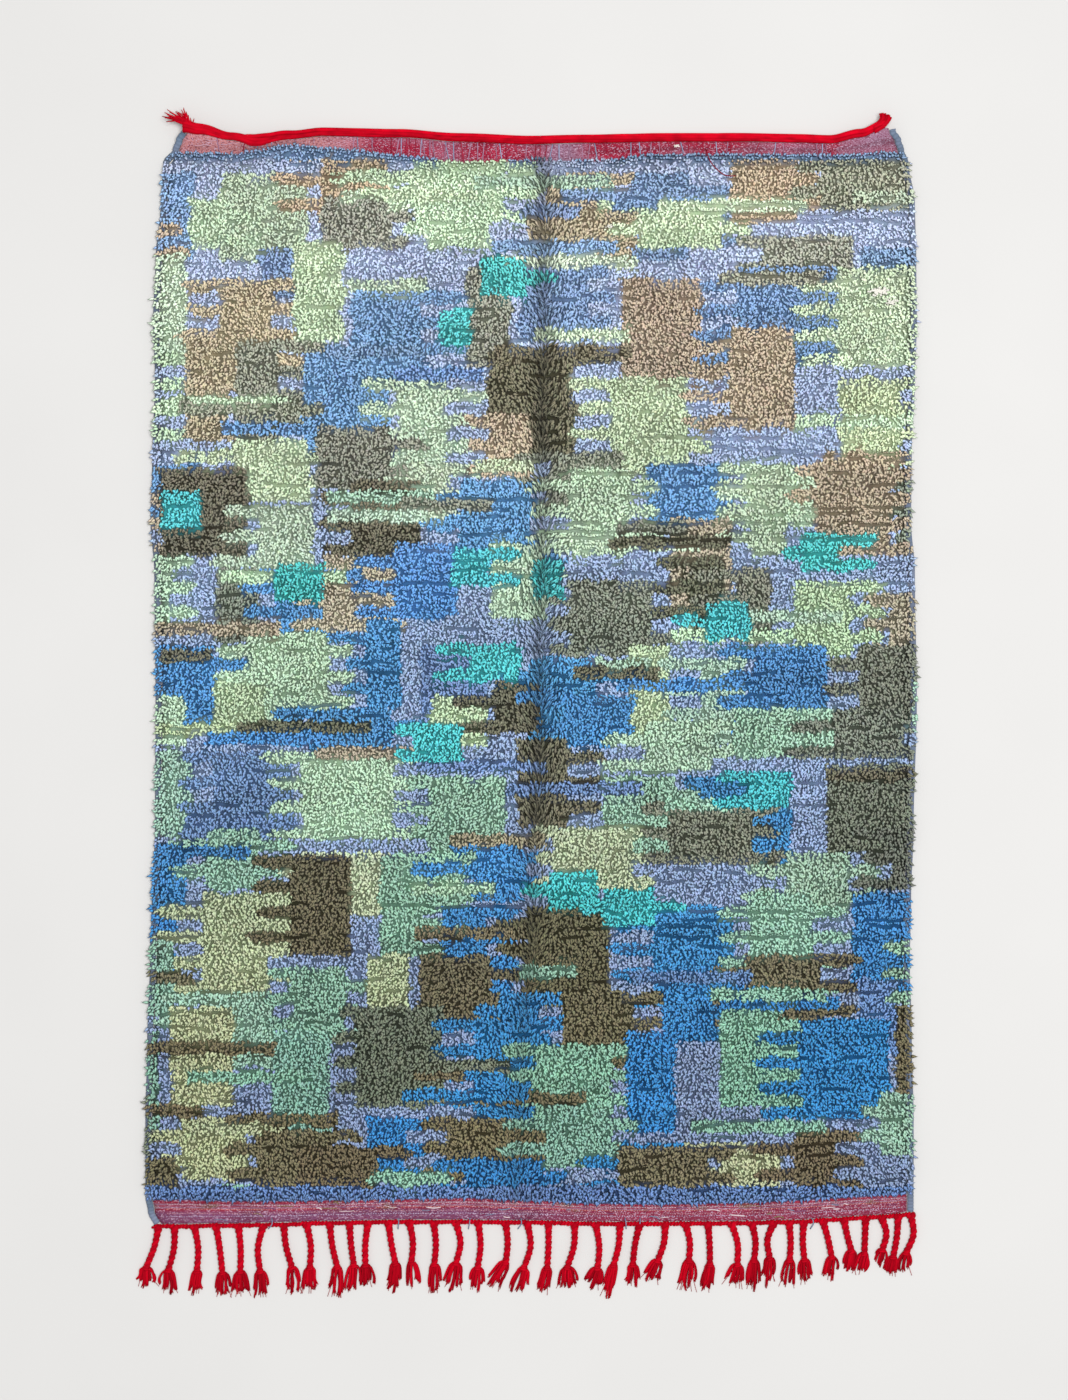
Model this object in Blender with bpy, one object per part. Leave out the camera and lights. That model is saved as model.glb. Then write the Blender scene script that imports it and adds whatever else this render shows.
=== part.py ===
"""Boujad rug: a hand-knotted wool pile rug, lying flat on the surface.

One woven cloth carries the knotted pile and ends in a narrow flat-woven band at each end. A wool
binding runs along each side, a twined header with 37 plied tassels closes the lower end, and a flat
red cord closes the upper end, which is frayed at its left corner and stubbed at its right one.

Frame: metres, +X across the rug, +Y along it towards the corded end, +Z up. The origin is the middle
of the rug's underside, on the surface that it lies on.
"""

import math
import random
from collections import namedtuple

import bmesh
import bpy
from mathutils import Vector, noise

MM = 0.001

# Driving dimensions, in millimetres.
WEAVE = 3.0  # thickness of the flat-woven bands
PILE = 17.0  # height of the pile's surface over the floor
LUMP = 2.2  # how far the pile's surface wanders up and down
LUMP_SPAN = 70.0  # distance over which it does
CREASE_X = 18.0  # where the old fold line runs, parting the pile
CREASE_DEPTH = 5.0
CREASE_SPAN = 14.0  # half the width of that trough
PILE_SHOULDER = 12.0  # run over which the pile rises from its two ends
SHOULDER_SHARE = 0.62  # height of the pile at its very ends, as a share of PILE
SEAM_GAP = 1.2  # clearance between the cloth and the pieces along its edges
GAP = 0.4  # clearance between the other pieces that touch

BINDING_WIDTH = 11.0
BINDING_HEIGHT = 4.6
BINDING_INSET = 1.2  # from the pile's outline to the binding's outer side
BAND_SEAM = BINDING_INSET + BINDING_WIDTH + SEAM_GAP  # from the outline to the flat bands' side
PILE_SEAM = BAND_SEAM + 2.0  # from the outline to the pile's underside
SHELF = 5.6  # underside of the pile where it overhangs the binding
RIM_TOP = 13.0  # top of the pile's outer wall
RIM_INSET = 6.0  # from the pile's outline to that wall
RIM_SLOPE = 7.0  # run of the slope from that wall up to the pile's surface
LOCK_LENGTH = (5.0, 9.5)  # shortest and longest lock that stands out of the wall
LOCK_TIP = 0.34  # size of a lock's tip, as a share of its root

HEADER_WIDTH = 7.0
HEADER_HEIGHT = 6.5
CORD_WIDTH = 12.5
CORD_HEIGHT = 7.0

ROPE_WIDTH = 9.0
ROPE_HEIGHT = 7.5
ROPE_STEPS = 4
SHOULDER_WIDTH = 13.0  # of a tassel, just past its knot
SHOULDER_REACH = 6.0
BRUSH_HEIGHT = 6.0
BRUSH_SPREAD = 15.0  # across the tips of a tassel's three locks
BRUSH_TIP = 3.4  # width of one lock at its tip
BRUSH_TIP_HEIGHT = 3.0
BRUSH_UNEVEN = 4.0  # how far the outer locks stop short of the middle one

COLUMNS_A_SIDE = 15  # of the cloth's mesh, each side of the crease
PILE_ROWS = 60  # of the cloth's mesh, along the pile

# Outline of the sides: y, x of the left side and x of the right side, in millimetres.
Side = namedtuple("Side", "y left right")
SIDES = (
    Side(-860, -591, 599),
    Side(-830, -604, 600),
    Side(-808, -608, 600),
    Side(-690, -608, 600),
    Side(-560, -605, 597),
    Side(-440, -601, 594),
    Side(-340, -598, 596),
    Side(-230, -593, 600),
    Side(-30, -592, 605),
    Side(170, -594, 602),
    Side(250, -600, 596),
    Side(360, -597, 597),
    Side(470, -593, 602),
    Side(565, -596, 605),
    Side(660, -592, 604),
    Side(750, -584, 602),
    Side(812, -580, 592),
    Side(832, -565, 585),
    Side(846, -559, 580),
    Side(860, -550, 571),
    Side(880, -544, 562),
)

# Courses across the rug: x, and the y of the header, of the pile's lower and upper ends and of the
# cord, with the height of the upper end over the floor, in millimetres.
Course = namedtuple("Course", "x header pile_low pile_high cord lift")
COURSES = (
    Course(-590, -855, -813, 829, 867, 14),
    Course(-545, -855, -813, 828, 867, 15),
    Course(-520, -854, -814, 828, 862, 16),
    Course(-470, -854, -815, 827, 851, 16),
    Course(-434, -853, -815, 828, 845, 14),
    Course(-380, -852, -815, 836, 854, 9),
    Course(-325, -850, -814, 831, 860, 5),
    Course(-207, -848, -812, 824, 858, 2),
    Course(-113, -848, -810, 813, 852, 0),
    Course(0, -849, -814, 817, 848, 0),
    Course(95, -851, -819, 816, 850, 0),
    Course(200, -851, -820, 825, 852, 0),
    Course(326, -850, -818, 825, 852, 1),
    Course(420, -848, -814, 825, 850, 3),
    Course(467, -845, -811, 824, 848, 6),
    Course(514, -842, -808, 825, 857, 10),
    Course(550, -840, -806, 828, 871, 13),
    Course(600, -836, -804, 829, 880, 14),
)

# Tassels from left to right: x at the header, how far the middle bows aside and the knot stands
# aside, the knot's distance from the header, and the tip's place beside and below the knot, in mm.
Tassel = namedtuple("Tassel", "x bow knot_side knot_down tip_side tip_down")
TASSELS = (
    Tassel(-585, 3, -20, 62, 0, 24),
    Tassel(-560, 4, -10, 66, 0, 30),
    Tassel(-529, 4, 4, 68, -3, 29),
    Tassel(-495, 1, 10, 71, -2, 32),
    Tassel(-460, 2, 3, 69, 2, 33),
    Tassel(-421, -6, -5, 70, 1, 34),
    Tassel(-389, -3, 13, 64, 1, 35),
    Tassel(-353, 4, 5, 66, 1, 34),
    Tassel(-317, -2, 12, 66, -4, 40),
    Tassel(-286, -1, 7, 64, -4, 36),
    Tassel(-257, -2, -4, 64, 1, 29),
    Tassel(-225, -1, 11, 62, -3, 37),
    Tassel(-192, 4, 3, 61, 2, 35),
    Tassel(-154, 3, 1, 64, -1, 38),
    Tassel(-119, 7, 0, 62, -8, 33),
    Tassel(-84, 4, -1, 69, -3, 29),
    Tassel(-41, 3, 0, 60, -21, 33),
    Tassel(-7, 8, -6, 69, -11, 29),
    Tassel(26, 1, -2, 68, -9, 34),
    Tassel(67, 5, -12, 66, 2, 26),
    Tassel(100, 4, 3, 67, -10, 25),
    Tassel(138, 3, -10, 62, -8, 43),
    Tassel(169, -2, -11, 62, -2, 27),
    Tassel(209, 4, -12, 55, -13, 26),
    Tassel(241, 4, 5, 55, -6, 40),
    Tassel(276, 1, 3, 62, -7, 36),
    Tassel(313, 5, 9, 62, -8, 29),
    Tassel(345, 4, 3, 56, -3, 38),
    Tassel(379, -7, -6, 53, -5, 29),
    Tassel(403, 2, 1, 57, -5, 36),
    Tassel(426, -2, 1, 57, 3, 32),
    Tassel(456, 1, 14, 55, -4, 30),
    Tassel(489, -1, 12, 47, -5, 30),
    Tassel(523, 0, -2, 53, -7, 28),
    Tassel(548, 7, 1, 49, -6, 20),
    Tassel(574, 2, -8, 62, -5, 24),
    Tassel(594, 8, -8, 58, -3, 28),
)


def between(table, key, value, field):
    """Reads a table's field at a value of its key column, smoothly from row to row."""
    rows = list(table)
    if value <= getattr(rows[0], key):
        return getattr(rows[0], field)
    for low, high in zip(rows, rows[1:]):
        start, end = getattr(low, key), getattr(high, key)
        if value <= end:
            t = (value - start) / (end - start)
            t = t * t * (3 - 2 * t)
            return getattr(low, field) * (1 - t) + getattr(high, field) * t
    return getattr(rows[-1], field)


def side(y, field):
    """x of the left or right outline at y."""
    return between(SIDES, "y", y, field)


def course(x, field):
    """y of a course of the weave, or the upper end's lift, at x."""
    return between(COURSES, "x", x, field)


def pile_surface(x, y):
    """Height of the pile's surface: lumps, less the trough along the old fold."""
    lumps = noise.noise(Vector((x / LUMP_SPAN, y / LUMP_SPAN, 0.5)))
    trough = math.exp(-(((x - CREASE_X) / CREASE_SPAN) ** 2))
    return PILE + LUMP * lumps - CREASE_DEPTH * trough


class Builder:
    """Collects points in millimetres and faces, and turns them into one closed mesh in metres."""

    def __init__(self):
        self.bm = bmesh.new()

    def point(self, x, y, z):
        return self.bm.verts.new((x * MM, y * MM, z * MM))

    def face(self, *points):
        return self.bm.faces.new(points)

    def finish(self, name, material, smooth_angle=50):
        bmesh.ops.recalc_face_normals(self.bm, faces=self.bm.faces)
        mesh = bpy.data.meshes.new(name)
        self.bm.to_mesh(mesh)
        self.bm.free()
        mesh.shade_smooth()
        mesh.set_sharp_from_angle(angle=math.radians(smooth_angle))
        mesh.materials.append(material)
        made = bpy.data.objects.new(name, mesh)
        bpy.context.scene.collection.objects.link(made)
        return made


def wool(name, colour, roughness=0.95):
    """A plain wool material: colour is linear red, green and blue."""
    made = bpy.data.materials.new(name)
    made.use_nodes = True
    shader = made.node_tree.nodes["Principled BSDF"]
    shader.inputs["Base Color"].default_value = (*colour, 1.0)
    shader.inputs["Roughness"].default_value = roughness
    shader.inputs["Metallic"].default_value = 0.0
    return made


Ring = namedtuple("Ring", "low high")  # a strand's section: its floor side and its top side


def ring(build, x, y, direction, width, height, cells=1, floor=0.0):
    """A section across a strand that runs along direction: flat for one cell, rounded for more."""
    across = Vector((direction[1], -direction[0])).normalized()
    low, high = [], []
    for step in range(cells + 1):
        share = step / cells - 0.5
        edge = cells > 1 and step in (0, cells)
        px, py = x + across.x * width * share, y + across.y * width * share
        low.append(build.point(px, py, floor + (0.3 * height if edge else 0.0)))
        high.append(build.point(px, py, floor + (0.7 if edge else 1.0) * height))
    return Ring(low, high)


def join_rings(build, a, b):
    """Skins the stretch between two sections, which may have different numbers of cells."""
    if len(a.low) == len(b.low):
        for side_a, side_b in ((a.low, b.low), (a.high, b.high)):
            for k in range(len(side_a) - 1):
                build.face(side_a[k], side_a[k + 1], side_b[k + 1], side_b[k])
    else:
        build.face(*a.low, *reversed(b.low))
        build.face(*a.high, *reversed(b.high))
    for end in (0, -1):
        build.face(a.low[end], a.high[end], b.high[end], b.low[end])


def close_ring(build, a):
    """Closes a strand's end, one face for each cell."""
    for k in range(len(a.low) - 1):
        build.face(a.low[k], a.low[k + 1], a.high[k + 1], a.high[k])


def fray(build, root, tips, floor=0.0):
    """Draws each cell of the root section out into a lock; tips are (x, y, width, height)."""
    for k, (x, y, width, height) in enumerate(tips):
        a, b = root.low[k].co, root.low[k + 1].co
        middle = (a + b) / 2 / MM
        tip = ring(build, x, y, (x - middle.x, y - middle.y), width, height, floor=floor)
        cell = Ring(root.low[k : k + 2], root.high[k : k + 2])
        join_rings(build, cell, tip)
        close_ring(build, tip)


def cloth_columns():
    """Places across the cloth, from 0 to 1, with one on the crease and one each side of it."""
    crease = (CREASE_X - SIDES[8].left) / (SIDES[8].right - SIDES[8].left)
    near = CREASE_SPAN / (SIDES[8].right - SIDES[8].left)
    left = [(crease - near) * k / COLUMNS_A_SIDE for k in range(COLUMNS_A_SIDE + 1)]
    right = [1 - (1 - crease - near) * k / COLUMNS_A_SIDE for k in range(COLUMNS_A_SIDE + 1)]
    return left + [crease] + right[::-1]


def cloth_places(course_of, inset):
    """x and y of a row's points across the cloth, from side to side."""
    places = []
    for u in cloth_columns():
        x, y = 0.0, course_of(0.0)
        for _ in range(3):
            left, right = side(y, "left") + inset, side(y, "right") - inset
            x = left + (right - left) * u
            y = course_of(x)
        places.append((x, y))
    return places


def upper_edge(x):
    """y of the cloth's upper edge, just short of the cord."""
    return course(x, "cord") - CORD_WIDTH / 2 - SEAM_GAP


def lower_edge(x):
    """y of the cloth's lower edge, just clear of the header."""
    return course(x, "header") + HEADER_WIDTH / 2 + SEAM_GAP


def cloth_row(build, height_of, course_of, inset, lift_share=0.0):
    """One row of points across the cloth, top side and underside, from side to side."""
    top, under = [], []
    for x, y in cloth_places(course_of, inset):
        lift = course(x, "lift") * lift_share
        top.append(build.point(x, y, height_of(x, y) + lift))
        under.append(build.point(x, y, lift))
    return top, under


def cloth_rim(build, top, under, sign):
    """The overhanging rim of a pile row on one side: points under the shelf and on the outer wall."""
    end = 0 if sign < 0 else -1
    y = top[end].co.y / MM
    outline = side(y, "left" if sign < 0 else "right")
    wall = outline - sign * RIM_INSET
    inner = under[end].co.x / MM
    crown = min(RIM_TOP, top[end].co.z / MM - 1.5)
    return (
        under[end],
        build.point(inner, y, SHELF),
        build.point(wall, y, SHELF),
        build.point(wall, y, crown),
        top[end],
    )


def draw_locks(build, walls, sign, dice):
    """Draws each face of the rim's outer wall out into a tapering lock."""
    made = bmesh.ops.extrude_discrete_faces(build.bm, faces=walls)["faces"]
    for face in made:
        middle = face.calc_center_median()
        reach = dice.uniform(*LOCK_LENGTH) * MM
        slide = dice.uniform(-3.0, 3.0) * MM
        for v in face.verts:
            v.co = middle + (v.co - middle) * LOCK_TIP
            v.co.x += sign * reach
            v.co.y += slide
            v.co.z = max(v.co.z, (SHELF + GAP) * MM)


def make_cloth(material):
    """The woven cloth with its pile: flat bands at both ends, a lumpy slab with a shaggy rim between."""
    build = Builder()
    dice = random.Random(7)

    def weave(x, y):
        return WEAVE

    def shoulder(x, y):
        return PILE * SHOULDER_SHARE

    def low_course(offset):
        return lambda x: course(x, "pile_low") + offset

    def high_course(offset):
        return lambda x: course(x, "pile_high") + offset

    def pile_course(t):
        start, end = low_course(PILE_SHOULDER), high_course(-PILE_SHOULDER)
        return lambda x: start(x) * (1 - t) + end(x) * t

    def band_course(t):
        return lambda x: course(x, "pile_high") * (1 - t) + upper_edge(x) * t

    rows = [
        cloth_row(build, weave, lower_edge, BAND_SEAM),
        cloth_row(build, weave, low_course(0.0), BAND_SEAM),
    ]
    first_pile = len(rows)
    rows.append(pile_row(build, shoulder, low_course(1.5)))
    for k in range(PILE_ROWS):
        t = k / (PILE_ROWS - 1)
        rows.append(pile_row(build, pile_surface, pile_course(t)))
    rows.append(pile_row(build, shoulder, high_course(-1.5)))
    last_pile = len(rows) - 1
    for t in (0.0, 0.5, 1.0):
        rows.append(cloth_row(build, weave, band_course(t), BAND_SEAM, lift_share=t))

    for (top_a, under_a), (top_b, under_b) in zip(rows, rows[1:]):
        for k in range(len(top_a) - 1):
            build.face(top_a[k], top_a[k + 1], top_b[k + 1], top_b[k])
            build.face(under_a[k], under_b[k], under_b[k + 1], under_a[k + 1])
    for top, under in (rows[0], rows[-1]):
        for k in range(len(top) - 1):
            build.face(top[k], under[k], under[k + 1], top[k + 1])

    for sign in (-1, 1):
        close_side(build, rows, first_pile, last_pile, sign, dice)
    flatten_underside(build)
    return build.finish("rug_cloth", material)


def pile_row(build, height_of, course_of):
    """A row of the pile, whose rim overhangs the binding."""
    top, spare = cloth_row(build, height_of, course_of, RIM_INSET + RIM_SLOPE)
    spare_top, under = cloth_row(build, height_of, course_of, PILE_SEAM)
    for v in spare + spare_top:
        build.bm.verts.remove(v)
    return top, under


def close_side(build, rows, first_pile, last_pile, sign, dice):
    """Closes one side of the cloth: plain along the flat bands, an overhanging rim along the pile."""
    end = 0 if sign < 0 else -1
    rims = {
        j: cloth_rim(build, *rows[j], sign) for j in range(first_pile, last_pile + 1)
    }
    walls = []
    for j in range(len(rows) - 1):
        (top_a, under_a), (top_b, under_b) = rows[j], rows[j + 1]
        if j in rims and j + 1 in rims:
            a, b = rims[j], rims[j + 1]
            for k in range(4):
                made = build.face(a[k], b[k], b[k + 1], a[k + 1])
                if k == 2:
                    walls.append(made)
        elif j in rims or j + 1 in rims:
            rim = rims[j] if j in rims else rims[j + 1]
            band_top, band_under = (top_b, under_b) if j in rims else (top_a, under_a)
            build.face(band_under[end], rim[0], rim[1], band_top[end])
            build.face(rim[4], band_top[end], rim[1])
            build.face(rim[4], rim[1], rim[2])
            build.face(rim[4], rim[2], rim[3])
        else:
            build.face(under_a[end], under_b[end], top_b[end], top_a[end])
    draw_locks(build, walls, sign, dice)


def flatten_underside(build):
    """Merges the faces that lie on the floor into one."""
    resting = [f for f in build.bm.faces if all(abs(v.co.z) < 1e-9 for v in f.verts)]
    bmesh.ops.dissolve_faces(build.bm, faces=resting, use_verts=True)


def make_binding(name, field, material):
    """The overcast binding along one side, which rises with the rug's upper corner."""
    build = Builder()
    sign = -1 if field == "left" else 1
    middle = BINDING_INSET + BINDING_WIDTH / 2
    corner_x = side(SIDES[0].y, field) - sign * middle
    corner_y = course(corner_x, "header") + HEADER_WIDTH / 2
    start = corner_y + GAP + 0.6
    end = binding_end(field, sign, middle)
    previous = None
    for y in binding_stations(start, end):
        x = side(y, field) - sign * middle
        pile_end = course(x, "pile_high") + 3.0
        floor = course(x, "lift") * max(0.0, (y - pile_end) / (end - pile_end))
        here = ring(build, x, y, (0, 1), BINDING_WIDTH, BINDING_HEIGHT, 3, floor)
        if previous:
            join_rings(build, previous, here)
        else:
            close_ring(build, here)
        previous = here
    close_ring(build, previous)
    return build.finish(name, material)


def binding_stations(start, end):
    """Places along a binding: close together at the rug's corners, further apart between them."""
    fine, coarse = 12.0, 56.0
    low = [start + fine * k for k in range(6)]
    high = [end - fine * k for k in range(9)][::-1]
    count = round((high[0] - low[-1]) / coarse)
    between_them = [low[-1] + (high[0] - low[-1]) * k / count for k in range(1, count)]
    return low + between_them + high


def binding_end(field, sign, middle):
    """y where a binding stops, just short of the cord."""
    y = SIDES[17].y
    for _ in range(6):
        x = side(y, field) - sign * middle
        slant = abs(course(x + 5, "cord") - course(x - 5, "cord")) / 10
        y = course(x, "cord") - CORD_WIDTH / 2 - GAP - slant * BINDING_WIDTH / 2 - 1.0
    return y


def rope_path(tassel, header_y):
    """Points and directions along a tassel's rope, from the header down to its knot."""
    root = Vector((tassel.x, header_y))
    knot = Vector((tassel.x + tassel.knot_side, header_y - tassel.knot_down))
    middle = (root + knot) / 2 + Vector((tassel.bow, 0.0))
    pull = middle * 2 - (root + knot) / 2
    places = []
    for k in range(1, ROPE_STEPS + 1):
        t = k / ROPE_STEPS
        place = root * (1 - t) ** 2 + pull * (2 * t * (1 - t)) + knot * t * t
        heading = (pull - root) * (1 - t) + (knot - pull) * t
        places.append((place, heading.normalized()))
    return places


def make_fringe(material):
    """The twined header with its plied tassels, each ending in a knot and three locks."""
    build = Builder()
    left = side(SIDES[0].y, "left") - 1
    right = side(SIDES[0].y, "right") + 1
    places = [left]
    for tassel in TASSELS:
        for place in (tassel.x - ROPE_WIDTH / 2, tassel.x + ROPE_WIDTH / 2):
            while place - places[-1] > 1.4 * ROPE_WIDTH:
                places.append(places[-1] + (place - places[-1]) / 2)
            places.append(place)
    places.append(right)

    sections = []
    for x in places:
        y = course(x, "header")
        back, front = y + HEADER_WIDTH / 2, y - HEADER_WIDTH / 2
        sections.append(
            (
                build.point(x, front, 0.0),
                build.point(x, front, HEADER_HEIGHT),
                build.point(x, back, HEADER_HEIGHT),
                build.point(x, back, 0.0),
            )
        )
    roots = {round(t.x - ROPE_WIDTH / 2, 3): t for t in TASSELS}
    for x, a, b in zip(places, sections, sections[1:]):
        tassel = roots.get(round(x, 3))
        for k in range(4):
            if k == 0 and tassel:
                # Seen along the rope, the header's left is the rope's right.
                draw_tassel(build, tassel, Ring([b[0], a[0]], [b[1], a[1]]))
            else:
                build.face(a[k], a[(k + 1) % 4], b[(k + 1) % 4], b[k])
    build.face(*sections[0])
    build.face(*sections[-1])
    return build.finish("fringe", material)


def draw_tassel(build, tassel, root):
    """Draws one tassel out of the header: the rope, the shoulder past its knot and its locks."""
    header_y = course(tassel.x, "header") - HEADER_WIDTH / 2
    previous = root
    heading = Vector((0.0, -1.0))
    place = Vector((tassel.x, header_y))
    for place, heading in rope_path(tassel, header_y):
        here = ring(build, place.x, place.y, heading, ROPE_WIDTH, ROPE_HEIGHT)
        join_rings(build, turned(previous, here), here)
        previous = here
    tip = place + Vector((tassel.tip_side, -tassel.tip_down))
    heading = (tip - place).normalized()
    neck = place + heading * SHOULDER_REACH
    shoulder = ring(build, neck.x, neck.y, heading, SHOULDER_WIDTH, BRUSH_HEIGHT, 3)
    for v in (shoulder.low[0], shoulder.low[-1]):
        v.co.z = 0.0
    join_rings(build, previous, shoulder)
    across = Vector((heading.y, -heading.x))
    tips = []
    for k in (-1, 0, 1):
        end = tip + across * k * (BRUSH_SPREAD - BRUSH_TIP) / 2 - heading * abs(k) * BRUSH_UNEVEN
        tips.append((end.x, end.y, BRUSH_TIP, BRUSH_TIP_HEIGHT))
    fray(build, shoulder, tips)


def turned(a, b):
    """Section a with its points in the order that faces section b."""
    straight = (a.low[0].co - b.low[0].co).length + (a.low[-1].co - b.low[-1].co).length
    crossed = (a.low[0].co - b.low[-1].co).length + (a.low[-1].co - b.low[0].co).length
    return a if straight <= crossed else Ring(a.low[::-1], a.high[::-1])


# The corded end's two corners, in millimetres: where the cord stops and what stands out of it.
LEFT_EAR = Vector((-547.0, 873.0))
LEFT_EAR_WIDTH = 21.0
LEFT_EAR_TIPS = ((-577, 879, 4.0, 3.0), (-568, 888, 4.0, 3.0), (-556, 890, 4.0, 3.0))
RIGHT_EAR = Vector((556.0, 878.0))
RIGHT_EAR_WIDTH = 19.0
RIGHT_EAR_TIP = Vector((553.0, 890.0))
EAR_LIFT = 12.0


def make_cord(material):
    """The flat cord along the upper end, with a frayed left corner and a stubbed right one."""
    build = Builder()
    left = ring(build, *LEFT_EAR, (-0.8, 0.6), LEFT_EAR_WIDTH, CORD_HEIGHT, 3, EAR_LIFT)
    fray(build, left, LEFT_EAR_TIPS, EAR_LIFT)
    previous = left
    for x, _ in cloth_places(upper_edge, BAND_SEAM):
        floor = course(x, "lift")
        here = ring(build, x, course(x, "cord"), (1, 0), CORD_WIDTH, CORD_HEIGHT, 3, floor)
        join_rings(build, turned(previous, here), here)
        previous = here
    right = ring(build, *RIGHT_EAR, (1.0, 0.9), RIGHT_EAR_WIDTH, CORD_HEIGHT, 3, EAR_LIFT)
    join_rings(build, previous, right)
    stub = ring(build, *RIGHT_EAR_TIP, (0.1, 1.0), RIGHT_EAR_WIDTH * 0.62, 5.0, 3, EAR_LIFT)
    join_rings(build, right, stub)
    close_ring(build, stub)
    return build.finish("top_cord", material)


def main():
    for old in list(bpy.data.objects):
        bpy.data.objects.remove(old, do_unlink=True)
    pile = wool("pile_wool", (0.17, 0.24, 0.30))
    blue = wool("binding_wool", (0.26, 0.32, 0.42))
    red = wool("fringe_wool", (0.55, 0.005, 0.02))
    deep_red = wool("cord_wool", (0.58, 0.006, 0.022))
    make_cloth(pile)
    make_binding("binding_left", "left", blue)
    make_binding("binding_right", "right", blue)
    make_fringe(red)
    make_cord(deep_red)


main()
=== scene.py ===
"""Looks of the boujad rug: real tufts of pile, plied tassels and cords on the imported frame.

Lengths in the tables and functions are millimetres in the rug's own frame: +X across the rug, +Y
along it towards the corded end, +Z up. Meshes are written in metres. The pattern is drawn by rule
at the photograph's scale, in its pixels, and PIXEL turns them into millimetres. Its layout is the
script's own: only its kind, its wools and the size of its blocks follow the photograph.
"""

import math
from collections import namedtuple

import bpy
import numpy as np
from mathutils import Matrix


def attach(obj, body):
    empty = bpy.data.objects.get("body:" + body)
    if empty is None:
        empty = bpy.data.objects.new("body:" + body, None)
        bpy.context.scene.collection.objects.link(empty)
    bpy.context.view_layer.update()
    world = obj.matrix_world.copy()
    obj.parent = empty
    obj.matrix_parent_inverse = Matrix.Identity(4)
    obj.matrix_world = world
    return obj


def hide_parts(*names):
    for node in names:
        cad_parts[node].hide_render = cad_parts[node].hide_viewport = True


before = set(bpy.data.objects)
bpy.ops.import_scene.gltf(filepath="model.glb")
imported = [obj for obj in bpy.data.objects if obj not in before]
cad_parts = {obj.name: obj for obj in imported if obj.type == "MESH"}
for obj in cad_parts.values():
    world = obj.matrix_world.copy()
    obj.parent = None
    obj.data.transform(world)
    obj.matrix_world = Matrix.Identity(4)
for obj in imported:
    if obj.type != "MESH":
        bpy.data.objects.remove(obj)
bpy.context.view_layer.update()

MM = 0.001
UP = np.array([0.0, 0.0, 1.0])
PIXEL = 1.5686  # millimetres that one pixel of the photograph covers
ORIGIN_PX = (532.0, 681.0)  # where the frame's origin is in the photograph
PICTURE = (1068, 1400)  # the photograph's width and height in pixels

SHEET = 2.6  # thickness of the flat weave at the ends
MAT = 8.8  # height of the dense lower part of the pile, which is one with the foundation
PILE = 17.0  # height of the pile's surface
TUFT_COLUMNS = 343  # tufts across the rug
TUFT_ROWS = 333  # rows of tufts along it
TUFT_WIDTH = 4.9
TUFT_RUN = 7.4  # how far a tuft lies over its neighbours
BANDS = 5  # pieces that the pile is split into, along Y

HEADER_WIDTH = 7.0
CORD_WIDTH = 12.5
BINDING_WIDTH = 11.0
BINDING_HEIGHT = 5.0
BINDING_INSET = 1.2
BAND_SEAM = 12.5  # from the rug's outline to the foundation's side
SEAM_GAP = 0.6  # from the foundation to the header and to the cord


def rows_of(kind, *rows):
    """A table whose rows have named columns."""
    return [kind(*row) for row in rows]


# Outline of the sides: y, x of the left side and x of the right side.
Side = namedtuple("Side", "y left right")
SIDES = rows_of(
    Side,
    (-860, -591, 599), (-830, -604, 600), (-808, -608, 600), (-690, -608, 600), (-560, -605, 597),
    (-440, -601, 594), (-340, -598, 596), (-230, -593, 600), (-30, -592, 605), (170, -594, 602),
    (250, -600, 596), (360, -597, 597), (470, -593, 602), (565, -596, 605), (660, -592, 604),
    (750, -584, 602), (812, -580, 592), (832, -565, 585), (846, -559, 580), (860, -550, 571),
    (880, -544, 562),
)

# Courses across the rug: x, and the y of the header, of the pile's two ends and of the cord, with
# the height of the upper end over the floor.
Course = namedtuple("Course", "x header pile_low pile_high cord lift")
COURSES = rows_of(
    Course,
    (-590, -855, -813, 829, 867, 14), (-545, -855, -813, 828, 867, 15),
    (-520, -854, -814, 828, 862, 16), (-470, -854, -815, 827, 851, 16),
    (-434, -853, -815, 831, 845, 14), (-380, -852, -815, 841, 854, 9),
    (-325, -850, -814, 836, 860, 5), (-207, -848, -812, 824, 858, 2),
    (-113, -848, -810, 813, 852, 0), (0, -849, -814, 817, 848, 0), (95, -851, -819, 816, 850, 0),
    (200, -851, -820, 825, 852, 0), (326, -850, -818, 825, 852, 1),
    (420, -848, -814, 825, 850, 3), (467, -845, -811, 824, 848, 6),
    (514, -842, -808, 825, 857, 10), (550, -840, -806, 828, 871, 13),
    (600, -836, -804, 829, 880, 14),
)

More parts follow.
